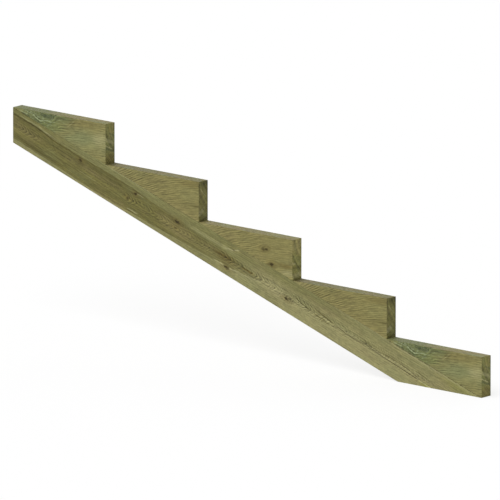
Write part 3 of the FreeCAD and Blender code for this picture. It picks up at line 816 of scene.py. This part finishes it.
class Field:
    """An output socket of a material's nodes. Arithmetic on it adds Math nodes."""

    def __init__(self, tree, socket=None):
        self.tree = tree
        self.socket = socket

    def node(self, kind, settings, inputs, output=0):
        """Add a node of the kind with its settings, and with the values or Fields of its sockets."""
        made = self.tree.nodes.new(f"ShaderNode{kind}")
        for key, value in settings.items():
            setattr(made, key, value)
        for key, value in inputs.items():
            if isinstance(value, Field):
                self.tree.links.new(value.socket, made.inputs[key])
            else:
                made.inputs[key].default_value = value
        return Field(self.tree, made.outputs[output] if made.outputs else None)

    def math(self, operation, *values):
        """A Math node on this value and others."""
        return self.node("Math", {"operation": operation}, dict(enumerate((self, *values))))

    def __add__(self, other):
        return self.math("ADD", other)

    __radd__ = __add__

    def __sub__(self, other):
        return self.math("SUBTRACT", other)

    def __rsub__(self, other):
        return self.node("Math", {"operation": "SUBTRACT"}, {0: other, 1: self})

    def __mul__(self, other):
        return self.math("MULTIPLY", other)

    __rmul__ = __mul__

    def __truediv__(self, other):
        return self.math("DIVIDE", other)

    def __rtruediv__(self, other):
        return self.node("Math", {"operation": "DIVIDE"}, {0: other, 1: self})

    def __abs__(self):
        return self.math("ABSOLUTE")

    def __or__(self, other):
        return self.math("MAXIMUM", other)

    __ror__ = __or__

    def parts(self):
        """The three parts of a vector."""
        first = self.node("SeparateXYZ", {}, {0: self})
        return [Field(self.tree, socket) for socket in first.socket.node.outputs]

    def step(self, low, high):
        """0 below low, 1 above high and an S curve between, or the other way round where high is lower."""
        curve = {"interpolation_type": "SMOOTHSTEP", "clamp": False}
        return self.node("MapRange", curve, {0: self, 1: low, 2: high, 3: 0.0, 4: 1.0})

    def band(self, start, full, fade, end):
        """1 from full to fade, and 0 before the start and after the end."""
        return self.step(start, full) * self.step(end, fade)

    def follow(self, points):
        """A line over this value through points, level beyond the first and the last.

        At each point the slope turns by a step, and the line is the sum of the steps times the larger of
        this value and the point's place.
        """
        places, heights = np.array(points).T
        turns = np.diff(np.diff(heights) / np.diff(places), prepend=0, append=0)
        line = heights[0] - turns @ places
        for place, turn in zip(places.tolist(), turns.tolist()):
            line = (self | place).math("MULTIPLY_ADD", turn, line)
        return line

    def vector(self, second, third=0.0):
        """A vector of this value and two more."""
        return self.node("CombineXYZ", {}, {0: self, 1: second, 2: third})

    def length(self):
        """Length of a vector."""
        return self.node("VectorMath", {"operation": "LENGTH"}, {0: self}, "Value")

    def scaled(self, scale, shift=(0, 0, 0)):
        """A vector times a vector, and moved."""
        return self.node("VectorMath", {"operation": "MULTIPLY_ADD"}, {0: self, 1: scale, 2: shift})

    def noise(self, waves, detail=2.0, shift=(0, 0, 0)):
        """Noise from 0 to 1 at a place, with so many waves in a metre along each axis."""
        inputs = {"Vector": self.scaled(waves, shift), "Scale": 1.0, "Detail": detail}
        return self.node("TexNoise", {}, inputs)

    def away(self, centre, reach):
        """Distance of a place from the centre, where the reach along each axis counts as 1."""
        share = [1 / part if part else 0 for part in reach]
        shift = [-middle * part for middle, part in zip(centre, share)]
        return self.scaled(share, shift).length()

    def pick(self, under, over):
        """A colour: under where this is 0, over where it is 1."""
        return self.node("Mix", {"data_type": "RGBA"}, {0: self, 6: under, 7: over}, 2)

    def lit(self, level):
        """A colour times a value."""
        return self.node("VectorMath", {"operation": "SCALE"}, {0: self, 3: level})


def new_material(name):
    """An empty material and the Field that starts its nodes."""
    material = bpy.data.materials.new(name)
    material.use_nodes = True
    material.node_tree.nodes.clear()
    return material, Field(material.node_tree)


def tints_of(finish):
    """The colours of the finish by name, with full cover."""
    return {name: opaque(getattr(finish, name)) for name in StringerFinish.__annotations__}


def largest(marks):
    """The largest of several marks at each point."""
    return functools.reduce(operator.or_, marks)


def timber_place(start, thickness):
    """Where a point lies in its timber, and whether it is on a sawn end or on the upper face.

    The branch place leans back through the timber as a branch does, so that marks on the front go through.
    """
    grain = start.node("Attribute", {"attribute_name": "grain"}, {}, "Vector")
    cut = start.node("Attribute", {"attribute_name": "cut"}, {}, "Vector")
    along, across, through = grain.parts()
    end, tread, _ = cut.parts()
    behind = through + thickness / 2
    lean = (behind * BRANCH_LEAN[0]).vector(behind * BRANCH_LEAN[1])
    branch = grain.node("VectorMath", {"operation": "ADD"}, {0: grain, 1: lean})
    return SimpleNamespace(
        grain=grain, branch=branch, along=along, across=across, through=through, behind=behind,
        end=end, tread=tread,
    )


def knot_marks(branch, knots, rough):
    """Cores and halos of knots: 1 in the middle of a ragged ellipse, and of one that is wider."""
    cores, halos = [], []
    for place, line, half_length, half_width, darkness in knots:
        away = branch.away((place, line, 0), (half_length, half_width, 0)) + rough
        cores.append(away.step(*KNOT_CORE) * darkness)
        halos.append(away.step(*KNOT_HALO) * darkness)
    return largest(cores), largest(halos)


def round_knots(branch, across, knots):
    """Lines of the grain pushed apart by knots: each point is drawn to a knot's line by a share near it."""
    drawn = across
    for place, line, half_length, half_width, _ in knots:
        reach = (KNOT_REACH[0] * half_length, KNOT_REACH[1] * half_width, 0)
        near = branch.away((place, line, 0), reach).step(1.0, 0.0)
        drawn = drawn - (across - line) * near * KNOT_PULL
    return drawn


def ring_marks(radius, width, blur):
    """Late wood and tone of the growth rings: the radius in ring widths, its fraction and its whole part."""
    phase = radius / width + blur
    late = phase.math("FRACT").band(*LATE_WOOD)
    whole = phase.math("FLOOR")
    tone = phase.node("TexWhiteNoise", {"noise_dimensions": "1D"}, {"W": whole})
    return late, tone


def line_mark(along, across, points, half_width, full_width, fade):
    """1 on a line through points, fading to 0 at its half width and, over a length, at its ends."""
    first, last = points[0][0], points[-1][0]
    beside = abs(across - along.follow(points)).step(half_width, full_width)
    return beside * along.band(first, first + fade, last - fade, last)


def draw_lines(colour, along, across, lines, tint, where):
    """A colour with lines drawn on it, which fade over a quarter of their length at each end."""
    for name, strength, half_width, points in lines:
        fade = (points[-1][0] - points[0][0]) / 4
        mark = line_mark(along, across, points, half_width, half_width * LINE_CORE, fade)
        colour = (mark * where * strength).pick(colour, tint[name])
    return colour


def draw_patches(colour, branch, patches, tint, streak, rough=0.0):
    """A colour with patches drawn on it: each is an ellipse, full in its middle and fading out at its edge.

    A patch's strength may swing with the timber's streaks, by a gain.
    """
    for name, strength, gain, place, reach, full in patches:
        mark = (branch.away((*place, 0), (*reach, 0)) + rough).step(1.0, full)
        mark = mark * (streak * gain + strength) if gain else mark * strength
        colour = mark.pick(colour, tint[name])
    return colour


def vary_hue(colour, grain, waves, shift, tint, share):
    """A colour drawn to green and to pink in clouds, by a share."""
    hue = grain.noise(waves, 2.0, shift)
    colour = (hue.step(0.48, 0.72) * share).pick(colour, tint["green_wood"])
    return (hue.step(0.52, 0.28) * share).pick(colour, tint["warm_wood"])


def finish_timber(start, material, colour, level, roughness, height):
    """The timber's shader: a colour at a level, a roughness and a bump from its height."""
    bump = {"Strength": BUMP_STRENGTH, "Distance": BUMP_HEIGHT, "Height": height}
    surface = {"Base Color": colour.lit(level), "Roughness": roughness, "Specular IOR Level": TIMBER_SHINE}
    surface["Normal"] = start.node("Bump", {}, bump)
    shader = start.node("BsdfPrincipled", {}, surface)
    start.node("OutputMaterial", {}, {0: shader})
    return material


def heart_mark(wood, wander):
    """1 in the dark heart of the beam: half an ellipse through the timber, between the heart's edges."""
    along = wood.along
    top, bottom = along.follow(HEART_TOP), along.follow(HEART_BOTTOM)
    from_middle = wood.across + wander * 0.002 - (top + bottom) * 0.5
    half = (bottom - top) * 0.5 + 0.0001
    reach = (from_middle / half).vector(wood.behind / HEART_DEPTH).length()
    soft = along.step(*HEART_SOFTENS) * from_middle.step(0.004, -0.004) * 0.45 + 0.04
    return reach.step(1 + soft, 1 - soft) * along.step(*HEART_END) * (1 - along.step(*HEART_PALES) * 0.4)


def bleach_mark(along, across, off_line):
    """Share of bleaching of the beam's sapwood, from its lists above the pith, at it and below it."""
    upper, lower = along.follow(UPPER_BLEACH), along.follow(LOWER_BLEACH)
    middle = along.follow(MIDDLE_BLEACH)
    bleach = upper + across.step(*MIDDLE_DEPTH) * (middle - upper) * along.step(*MIDDLE_START)
    bleach = bleach + off_line.step(*BELOW_PITH) * (lower - bleach)
    return bleach - across.step(*LOWER_EDGE) * along.band(*DULL_EDGE) * 0.25


def beam_material(finish, sizes):
    """Planed timber with its heart near the front: rings about the pith, dark heartwood, knots and checks."""
    material, start = new_material("beam_timber_planed")
    tint, wood = tints_of(finish), timber_place(start, sizes.thickness)
    grain, branch, along, across, end = wood.grain, wood.branch, wood.along, wood.across, wood.end
    front = wood.through.step(*FRONT_SKIN)

    wander = grain.noise((4, 16, 16), 2.0) - 0.5
    ragged = grain.noise((120, 240, 240), 2.0) - 0.5
    cloud = grain.noise((6, 22, 22), 2.0, (3, 9, 0)) - 0.5
    jag = grain.noise((65, 30, 30), 1.0) - 0.5
    drawn = round_knots(branch, across, BEAM_KNOTS) + wander * 0.005
    flow = along.vector(drawn, wood.through)
    streak = flow.noise((5, 90, 90), 2.0, (7, 0, 0)) - 0.5
    stroke = flow.noise((38, 240, 240), 1.0).step(0.34, 0.66) - 0.5
    fibre = flow.noise((12, 420, 420), 2.0) - 0.5
    pore = flow.noise((50, 1100, 1100), 1.0) - 0.5

    off_line = drawn - along.follow(PITH_LINE)
    off_pith = abs(off_line)
    radius = off_line.vector(wood.behind - PITH_DEPTH).length()
    late, tone = ring_marks(radius, BEAM_RING, streak * 0.6 + ragged * 0.4)
    arrow = (along + off_pith * ARROW_LEAN) / ARROW_PITCH + ragged * 0.6 + jag * 0.8 + wander * 5.0
    arrow = arrow.math("FRACT")
    patchy = grain.noise((30, 70, 70), 1.0, (4, 0, 0)).step(0.36, 0.58)
    arrow_share = along.follow(ARROW_SHARE) * off_pith.step(*ARROW_REACH) * front * (patchy * 0.9 + 0.2)
    arrow_dark = arrow.band(*ARROW_DARK) * arrow_share * (1 + off_pith.step(*ARROW_TIP) * 0.5)
    arrow_light = arrow.band(*ARROW_LIGHT) * arrow_share
    comb = (along + off_pith * COMB_LEAN) / COMB_PITCH + ragged * 0.5 + jag * 0.8 + wander * 6.0
    comb = (comb * FULL_TURN).math("SINE") * along.follow(COMB_SHARE) * off_pith.step(*COMB_REACH) * front
    comb = comb * grain.noise((24, 60, 60), 1.0, (8, 2, 0)).step(0.38, 0.60)

    colour = bleach_mark(along, across, off_line).pick(tint["olive_sapwood"], tint["pale_sapwood"])
    heart = heart_mark(wood, wander)
    colour = heart.pick(colour, tint["heartwood"])
    colour = vary_hue(colour, grain, (7, 26, 26), (1, 4, 2), tint, 0.22)
    colour = draw_patches(colour, branch, BEAM_PATCHES, tint, streak)
    core, halo = knot_marks(branch, BEAM_KNOTS, ragged * KNOT_ROUGHNESS)
    colour = (halo * HALO_STRENGTH).pick(colour, tint["brown_streak"])
    # The beam's lines: streaks of the grain, and painted shade along the joints under the blocks
    colour = draw_lines(colour, along, across + ragged * 0.003 + jag * 0.004, BEAM_LINES, tint, front)
    torn = across + ragged * 0.002 + jag * 0.001
    # The check's groove is real relief; the dark mark along it is painted shade inside the crack
    check = largest([line_mark(along, torn, points, *CHECK_SHADE_MARK, CHECK_FADE) for points in CHECKS]) * front
    colour = (check * (0.6 + streak)).pick(colour, tint["knot"])
    colour = core.pick(colour, tint["knot"])
    colour = (end * 0.7).pick(colour, tint["end_grain"])

    contrast = 0.12 + end * 0.12 + off_pith.step(*RING_REACH) * front * 0.14
    level = 1.01 - late * contrast + (tone - 0.5) * 0.06 + stroke * 0.22 + streak * 0.40 + fibre * 0.45
    level = level + cloud * 0.25 + ragged * 0.52 + pore * 0.45 - arrow_dark * 0.33 + arrow_light * 0.40
    level = level + heart * (across.follow(HEART_TONE) + streak * 0.25) + comb * 0.20
    roughness = 0.66 - late * 0.06 + fibre * 0.2
    height = fibre * 0.5 + pore * 0.3 + stroke * 0.5 + late * 0.5 - core * 0.5 - check * 2.0
    return finish_timber(start, material, colour, level, roughness, height)


def swirl_marks(side, stain, wood, tint, cloud, jittered):
    """A block's side with the green stain of its large knot, its dark middle, speckles and bright fibres."""
    side = (stain * 0.80).pick(side, tint["stain"])
    side = draw_patches(side, wood.branch, RUNOFF_PATCHES, tint, None, cloud)
    speckle = wood.grain.noise((110, 180, 180), 1.0, (2, 5, 0))
    dark = wood.branch.away(*DARK_KNOT).step(1.2, 0.3) * speckle.step(0.38, 0.54)
    side = (dark * 0.9).pick(side, tint["deep_stain"])
    side = (stain * speckle.step(0.56, 0.70) * 0.35).pick(side, tint["pale_green"])
    return draw_lines(side, wood.along, jittered, SWIRL_LINES, tint, 1 - wood.end)


def block_material(finish, sizes, kind):
    """Planed timber with level grain: rings about a pith outside the block, and the marks of its kind."""
    material, start = new_material(f"block_timber_{kind}")
    tint, wood, look = tints_of(finish), timber_place(start, sizes.thickness), BLOCK_LOOKS[kind]
    grain, branch, along, across, end = wood.grain, wood.branch, wood.along, wood.across, wood.end
    through, shift = wood.through, look.shift

    wander = grain.noise((6, 20, 20), 2.0, shift) - 0.5
    ragged = grain.noise((120, 240, 240), 2.0, shift) - 0.5
    cloud = grain.noise((11, 26, 26), 2.0, shift) - 0.5
    ripple = grain.noise((30, 45, 45), 1.0, shift) - 0.5
    drawn = round_knots(branch, across, look.knots) + (along - along * along * 1.15) * look.bend
    drawn = drawn + wander * 0.010 + ripple * 0.003
    if kind == "swirl":
        whorl = branch.away(*WHORL) + wander * 1.1 + ripple * 0.30 + ragged * 0.10
        drawn = drawn + whorl.step(1.3, 0.7) * (whorl * 0.05 - drawn)
    flow = along.vector(drawn, through)
    streak = flow.noise((7, 90, 90), 2.0, shift) - 0.5
    stroke = flow.noise((36, 235, 235), 1.0, shift).step(0.34, 0.66) - 0.5
    broken = flow.noise((26, 70, 70), 1.0, shift).step(0.34, 0.62)
    fibre = flow.noise((14, 420, 420), 2.0, shift) - 0.5
    pore = flow.noise((50, 1100, 1100), 1.0, shift) - 0.5

    radius = (drawn - BLOCK_PITH[0]).vector(through - BLOCK_PITH[1]).length()
    line = ((radius / BLOCK_RING + ragged * 0.30 + ripple * 0.4) * FULL_TURN).math("SINE")
    end_radius = branch.away(*END_PITH) + wander * 0.006 + ragged * 0.0015
    late, tone = ring_marks(end_radius, BLOCK_RING, streak * 0.3)
    growth = end_radius.vector(0.0).noise((85, 1, 1), 2.0, shift) - 0.5

    side = vary_hue(tint["block_wood"], grain, (9, 24, 24), shift, tint, 0.15)
    core = 0.0
    if kind == "swirl":
        green = (branch.away(*GREEN_PATCH) + cloud).step(1.0, 0.1)
        side = (green * 0.6 + 0.14).pick(side, tint["green_wood"])
        side = draw_patches(side, branch, BLOCK_PATCHES[kind], tint, streak, cloud)
        stain = (whorl + cloud * 2.0).step(1.95, 0.75)
        side = swirl_marks(side, stain, wood, tint, cloud, across + ragged * 0.004 + ripple * 0.012)
    else:
        side = (along.step(*PALE_TIP) * 0.16).pick(side, tint["pale_streak"])
        if look.knots:
            core, halo = knot_marks(branch, look.knots, ragged * KNOT_ROUGHNESS)
            side = (halo * HALO_STRENGTH).pick(side, tint["brown_streak"])
        side = draw_patches(side, branch, BLOCK_PATCHES[kind], tint, streak)
        if look.knots:
            side = core.pick(side, tint["knot"])

    upper = vary_hue(tint["tread"], grain, (16, 20, 44), shift, tint, 0.60)
    mottle = grain.noise((45, 20, 90), 2.0, shift)
    if kind == "swirl":
        upper = (along.step(*STAINED_TREAD) * (mottle + 0.15)).pick(upper, tint["stain"])
    # Painted shade: a wavy tread darkens towards its thin end, in the corner under the riser of the block
    # above
    if kind == "wavy":
        upper = (along.step(*TREAD_CORNER_SHADE) * 0.7).pick(upper, tint["heart_edge"])
    upper = upper.lit((mottle * 0.5 + 0.75) * look.tread)
    sawn = vary_hue(tint["end_grain"], grain, (20, 30, 50), shift, tint, 0.30)
    for name, strength, depths in END_BANDS[kind]:
        sawn = (across.band(*depths) * strength).pick(sawn, tint[name])
    sawn = draw_lines(sawn, through, across + ragged * 0.006, END_LINES[kind], tint, end).lit(look.end)
    colour = end.pick(wood.tread.pick(side, upper), sawn)

    clear = along.band(*CLEAR_LINES) * look.clear
    lined = line * (broken * 0.20 + 0.03) * (0.65 + clear * 0.7) + stroke * (0.22 + clear * 0.12)
    lined = lined * (along.step(*THIN_END) * 0.5 + 0.5)
    fleck = grain.noise((60, 150, 110), 2.0, shift) - 0.5
    # The sawn end's level: growth rings and flecks, and painted shade along its back edge
    rings = growth * 1.5 - late * 0.20 + (tone - 0.5) * 0.1 + fleck * 0.70 - through.step(*END_EDGE_SHADE) * 0.2
    if kind == "swirl":
        lined = lined * (1 + stain * 0.3)
    if kind == "wavy":
        rings = rings - end_radius.step(*DARK_RINGS) * 0.15 - across.step(*DARK_TOP) * 0.26
    level = look.side + streak * 0.45 + fibre * 0.45 + pore * 0.45 + cloud * 0.25 + ragged * 0.40
    level = level + (lined - clear * 0.06) * (1 - end) + rings * end
    roughness = 0.66 - line * 0.03 + fibre * 0.2
    height = fibre * 0.5 + pore * 0.3 + stroke * 0.5 - line * 0.3 - core * 0.5
    return finish_timber(start, material, colour, level, roughness, height)


def steel_material(finish):
    """Satin steel: fine turning marks and a few dull patches."""
    material, start = new_material("screw_steel_satin")
    place = start.node("TexCoord", {}, {}, "Object")
    dull = place.noise((300, 300, 300), 3.0)
    fine = place.noise((2500, 2500, 2500), 2.0)
    steel = np.array(finish.steel)
    colour = dull.step(0.35, 0.75).pick(opaque(steel * 0.8), opaque(steel))
    bump = start.node("Bump", {}, {"Strength": 0.15, "Distance": 0.0001, "Height": fine})
    surface = {"Base Color": colour, "Metallic": 1.0, "Roughness": 0.30 + dull * 0.25, "Normal": bump}
    shader = start.node("BsdfPrincipled", {}, surface)
    start.node("OutputMaterial", {}, {0: shader})
    return material


def seen_directly(start):
    """1 for what the camera sees, itself or in a reflection or through glass."""
    rays = start.node("LightPath", {}, {}).socket.node.outputs
    names = ("Is Camera Ray", "Is Glossy Ray", "Is Transmission Ray")
    return largest([Field(start.tree, rays[name]) for name in names])


def floor_material(stage):
    """A plain floor that reads as white and keeps the shadow. From below it isn't there."""
    material, start = new_material("studio_floor_white")
    white = start.node("Emission", {}, {"Strength": 1.0})
    plain = start.node("BsdfDiffuse", {}, {"Color": opaque(stage.floor)})
    shown = start.node("MixShader", {}, {0: seen_directly(start) * 0.8, 1: plain, 2: white})
    behind = start.node("NewGeometry", {}, {}, "Backfacing")
    clear = start.node("BsdfTransparent", {}, {})
    both = start.node("MixShader", {}, {0: behind, 1: shown, 2: clear})
    start.node("OutputMaterial", {}, {0: both})
    return material


# Operators


class StringerOperator:
    """What the operators share: undo, and a piece's material, body and CAD nodes."""

    bl_options = {"REGISTER", "UNDO"}

    def settle(self, piece, material, nodes, slot):
        """Give the piece its material, let it ride on the stringer's body and stand for its CAD nodes."""
        piece.data.materials.append(material)
        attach(piece, "root")
        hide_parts(*nodes)


class STRINGER_OT_carriage_beam(StringerOperator, bpy.types.Operator):
    """Build the sloping carriage beam with its counterbores, knots and drying checks"""

    bl_idname = "stringer.carriage_beam"
    bl_label = "Carriage beam"

    def execute(self, context):
        sizes = context.scene.stringer_sizes
        material = beam_material(context.scene.stringer_finish, sizes)
        self.settle(beam_mesh(sizes), material, ["carriage_beam"], "beam_timber")
        return {"FINISHED"}


class STRINGER_OT_step_blocks(StringerOperator, bpy.types.Operator):
    """Build the wedge-shaped step blocks"""

    bl_idname = "stringer.step_blocks"
    bl_label = "Step blocks"

    def execute(self, context):
        sizes, finish = context.scene.stringer_sizes, context.scene.stringer_finish
        materials = {kind: block_material(finish, sizes, kind) for kind in sorted(BLOCK_LOOKS)}
        for number in range(1, sizes.step_count + 1):
            material = materials[block_kind(number)]
            self.settle(block_mesh(sizes, number), material, [f"step_block_{number}"], "block_timber")
        return {"FINISHED"}


class STRINGER_OT_screws(StringerOperator, bpy.types.Operator):
    """Build the screws that hold the blocks"""

    bl_idname = "stringer.screws"
    bl_label = "Screws"

    def execute(self, context):
        pitch = context.scene.stringer_sizes.thread_pitch
        material = steel_material(context.scene.stringer_finish)
        for node in SCREW_DIRECTIONS:
            self.settle(screws_mesh(node, pitch), material, [node], "screw_steel")
        return {"FINISHED"}


class STRINGER_OT_stage(StringerOperator, bpy.types.Operator):
    """Set up the floor, the light and the camera"""

    bl_idname = "stringer.stage"
    bl_label = "Stage"

    FLOOR_REACH = 30.0
    FLOOR_DROP = 0.0005
    LENS = 1600.0
    SENSOR = 36.0
    CAMERA_REACH = 200.0
    # Each lamp's turn, height and breadth in degrees
    LAMPS = {"key": (-15, 60, 50), "fill": (195, 12, 60)}

    def execute(self, context):
        scene, stage = context.scene, context.scene.stringer_stage
        scene.view_settings.view_transform = "Standard"
        self.floor(stage)
        self.light(scene, stage)
        self.camera(scene, stage)
        return {"FINISHED"}

    def floor(self, stage):
        """A level square just below the ground line."""
        sides = np.linspace(-self.FLOOR_REACH, self.FLOOR_REACH, 3)
        x, y = np.meshgrid(sides, sides, indexing="ij")
        points = np.stack([x.ravel(), y.ravel(), np.full(x.size, -self.FLOOR_DROP)], axis=1)
        floor = put_mesh("studio_floor", points, quads_of(np.arange(x.size).reshape(x.shape)))
        floor.data.materials.append(floor_material(stage))

    def light(self, scene, stage):
        """A broad key from the front left, a low fill from behind, and an even sky that looks white."""
        for name, degrees in self.LAMPS.items():
            turn, height, breadth = np.radians(degrees).tolist()
            lamp = bpy.data.lights.new(f"studio_{name}", "SUN")
            lamp.energy = getattr(stage, f"{name}_strength")
            lamp.angle = breadth
            holder = bpy.data.objects.new(f"studio_{name}", lamp)
            holder.rotation_euler = view_direction(turn, height).to_track_quat("Z", "Y").to_euler()
            scene.collection.objects.link(holder)
        world = bpy.data.worlds.new("studio_sky")
        world.use_nodes = True
        world.node_tree.nodes.clear()
        start = Field(world.node_tree)
        strength = seen_directly(start) * (1 - stage.sky_strength) + stage.sky_strength
        sky = start.node("Background", {}, {"Color": (1, 1, 1, 1), "Strength": strength})
        start.node("OutputWorld", {}, {0: sky})
        scene.world = world

    def camera(self, scene, stage):
        """A long lens from the front right, so far away that level lines stay parallel."""
        back = view_direction(stage.azimuth, stage.elevation)
        up = back.cross(Vector((math.cos(stage.azimuth), math.sin(stage.azimuth), 0)))
        centre = (CAD_LOW + CAD_HIGH) / 2
        distance = stage.picture_width * self.LENS / self.SENSOR
        lens = bpy.data.cameras.new("studio_camera")
        lens.lens = self.LENS
        lens.sensor_width = self.SENSOR
        lens.clip_end = self.CAMERA_REACH
        camera = bpy.data.objects.new("studio_camera", lens)
        turn = back.to_track_quat("Z", "Y").to_matrix().to_4x4()
        camera.matrix_world = Matrix.Translation(centre + up * stage.aim_up + back * distance) @ turn
        scene.collection.objects.link(camera)
        scene.camera = camera


def view_direction(azimuth, elevation):
    """Unit vector from the object to a viewer at an azimuth from -Y towards +X and an elevation."""
    return Vector((
        math.sin(azimuth) * math.cos(elevation),
        -math.cos(azimuth) * math.cos(elevation),
        math.sin(elevation),
    ))


class STRINGER_PT_sidebar(bpy.types.Panel):
    """The stringer's sizes, finish and stage, with the buttons that build them."""

    bl_label = "Stair stringer"
    bl_space_type = "VIEW_3D"
    bl_region_type = "UI"
    bl_category = "Stringer"

    def draw(self, context):
        for name, kind in GROUPS.items():
            box = self.layout.box()
            for item in kind.__annotations__:
                box.prop(getattr(context.scene, name), item)
        for button in OPERATORS:
            self.layout.operator(button.bl_idname)


OPERATORS = (STRINGER_OT_stage, STRINGER_OT_carriage_beam, STRINGER_OT_step_blocks, STRINGER_OT_screws)
GROUPS = {"stringer_sizes": StringerSizes, "stringer_finish": StringerFinish, "stringer_stage": StringerStage}
CLASSES = (*GROUPS.values(), *OPERATORS, STRINGER_PT_sidebar)


def register():
    for item in CLASSES:
        bpy.utils.register_class(item)
    for name, group in GROUPS.items():
        setattr(bpy.types.Scene, name, PointerProperty(type=group))


def unregister():
    for name in GROUPS:
        delattr(bpy.types.Scene, name)
    for item in reversed(CLASSES):
        bpy.utils.unregister_class(item)


def main():
    register()
    bpy.ops.stringer.stage()
    bpy.ops.stringer.carriage_beam()
    bpy.ops.stringer.step_blocks()
    bpy.ops.stringer.screws()


if __name__ == "__main__":
    main()
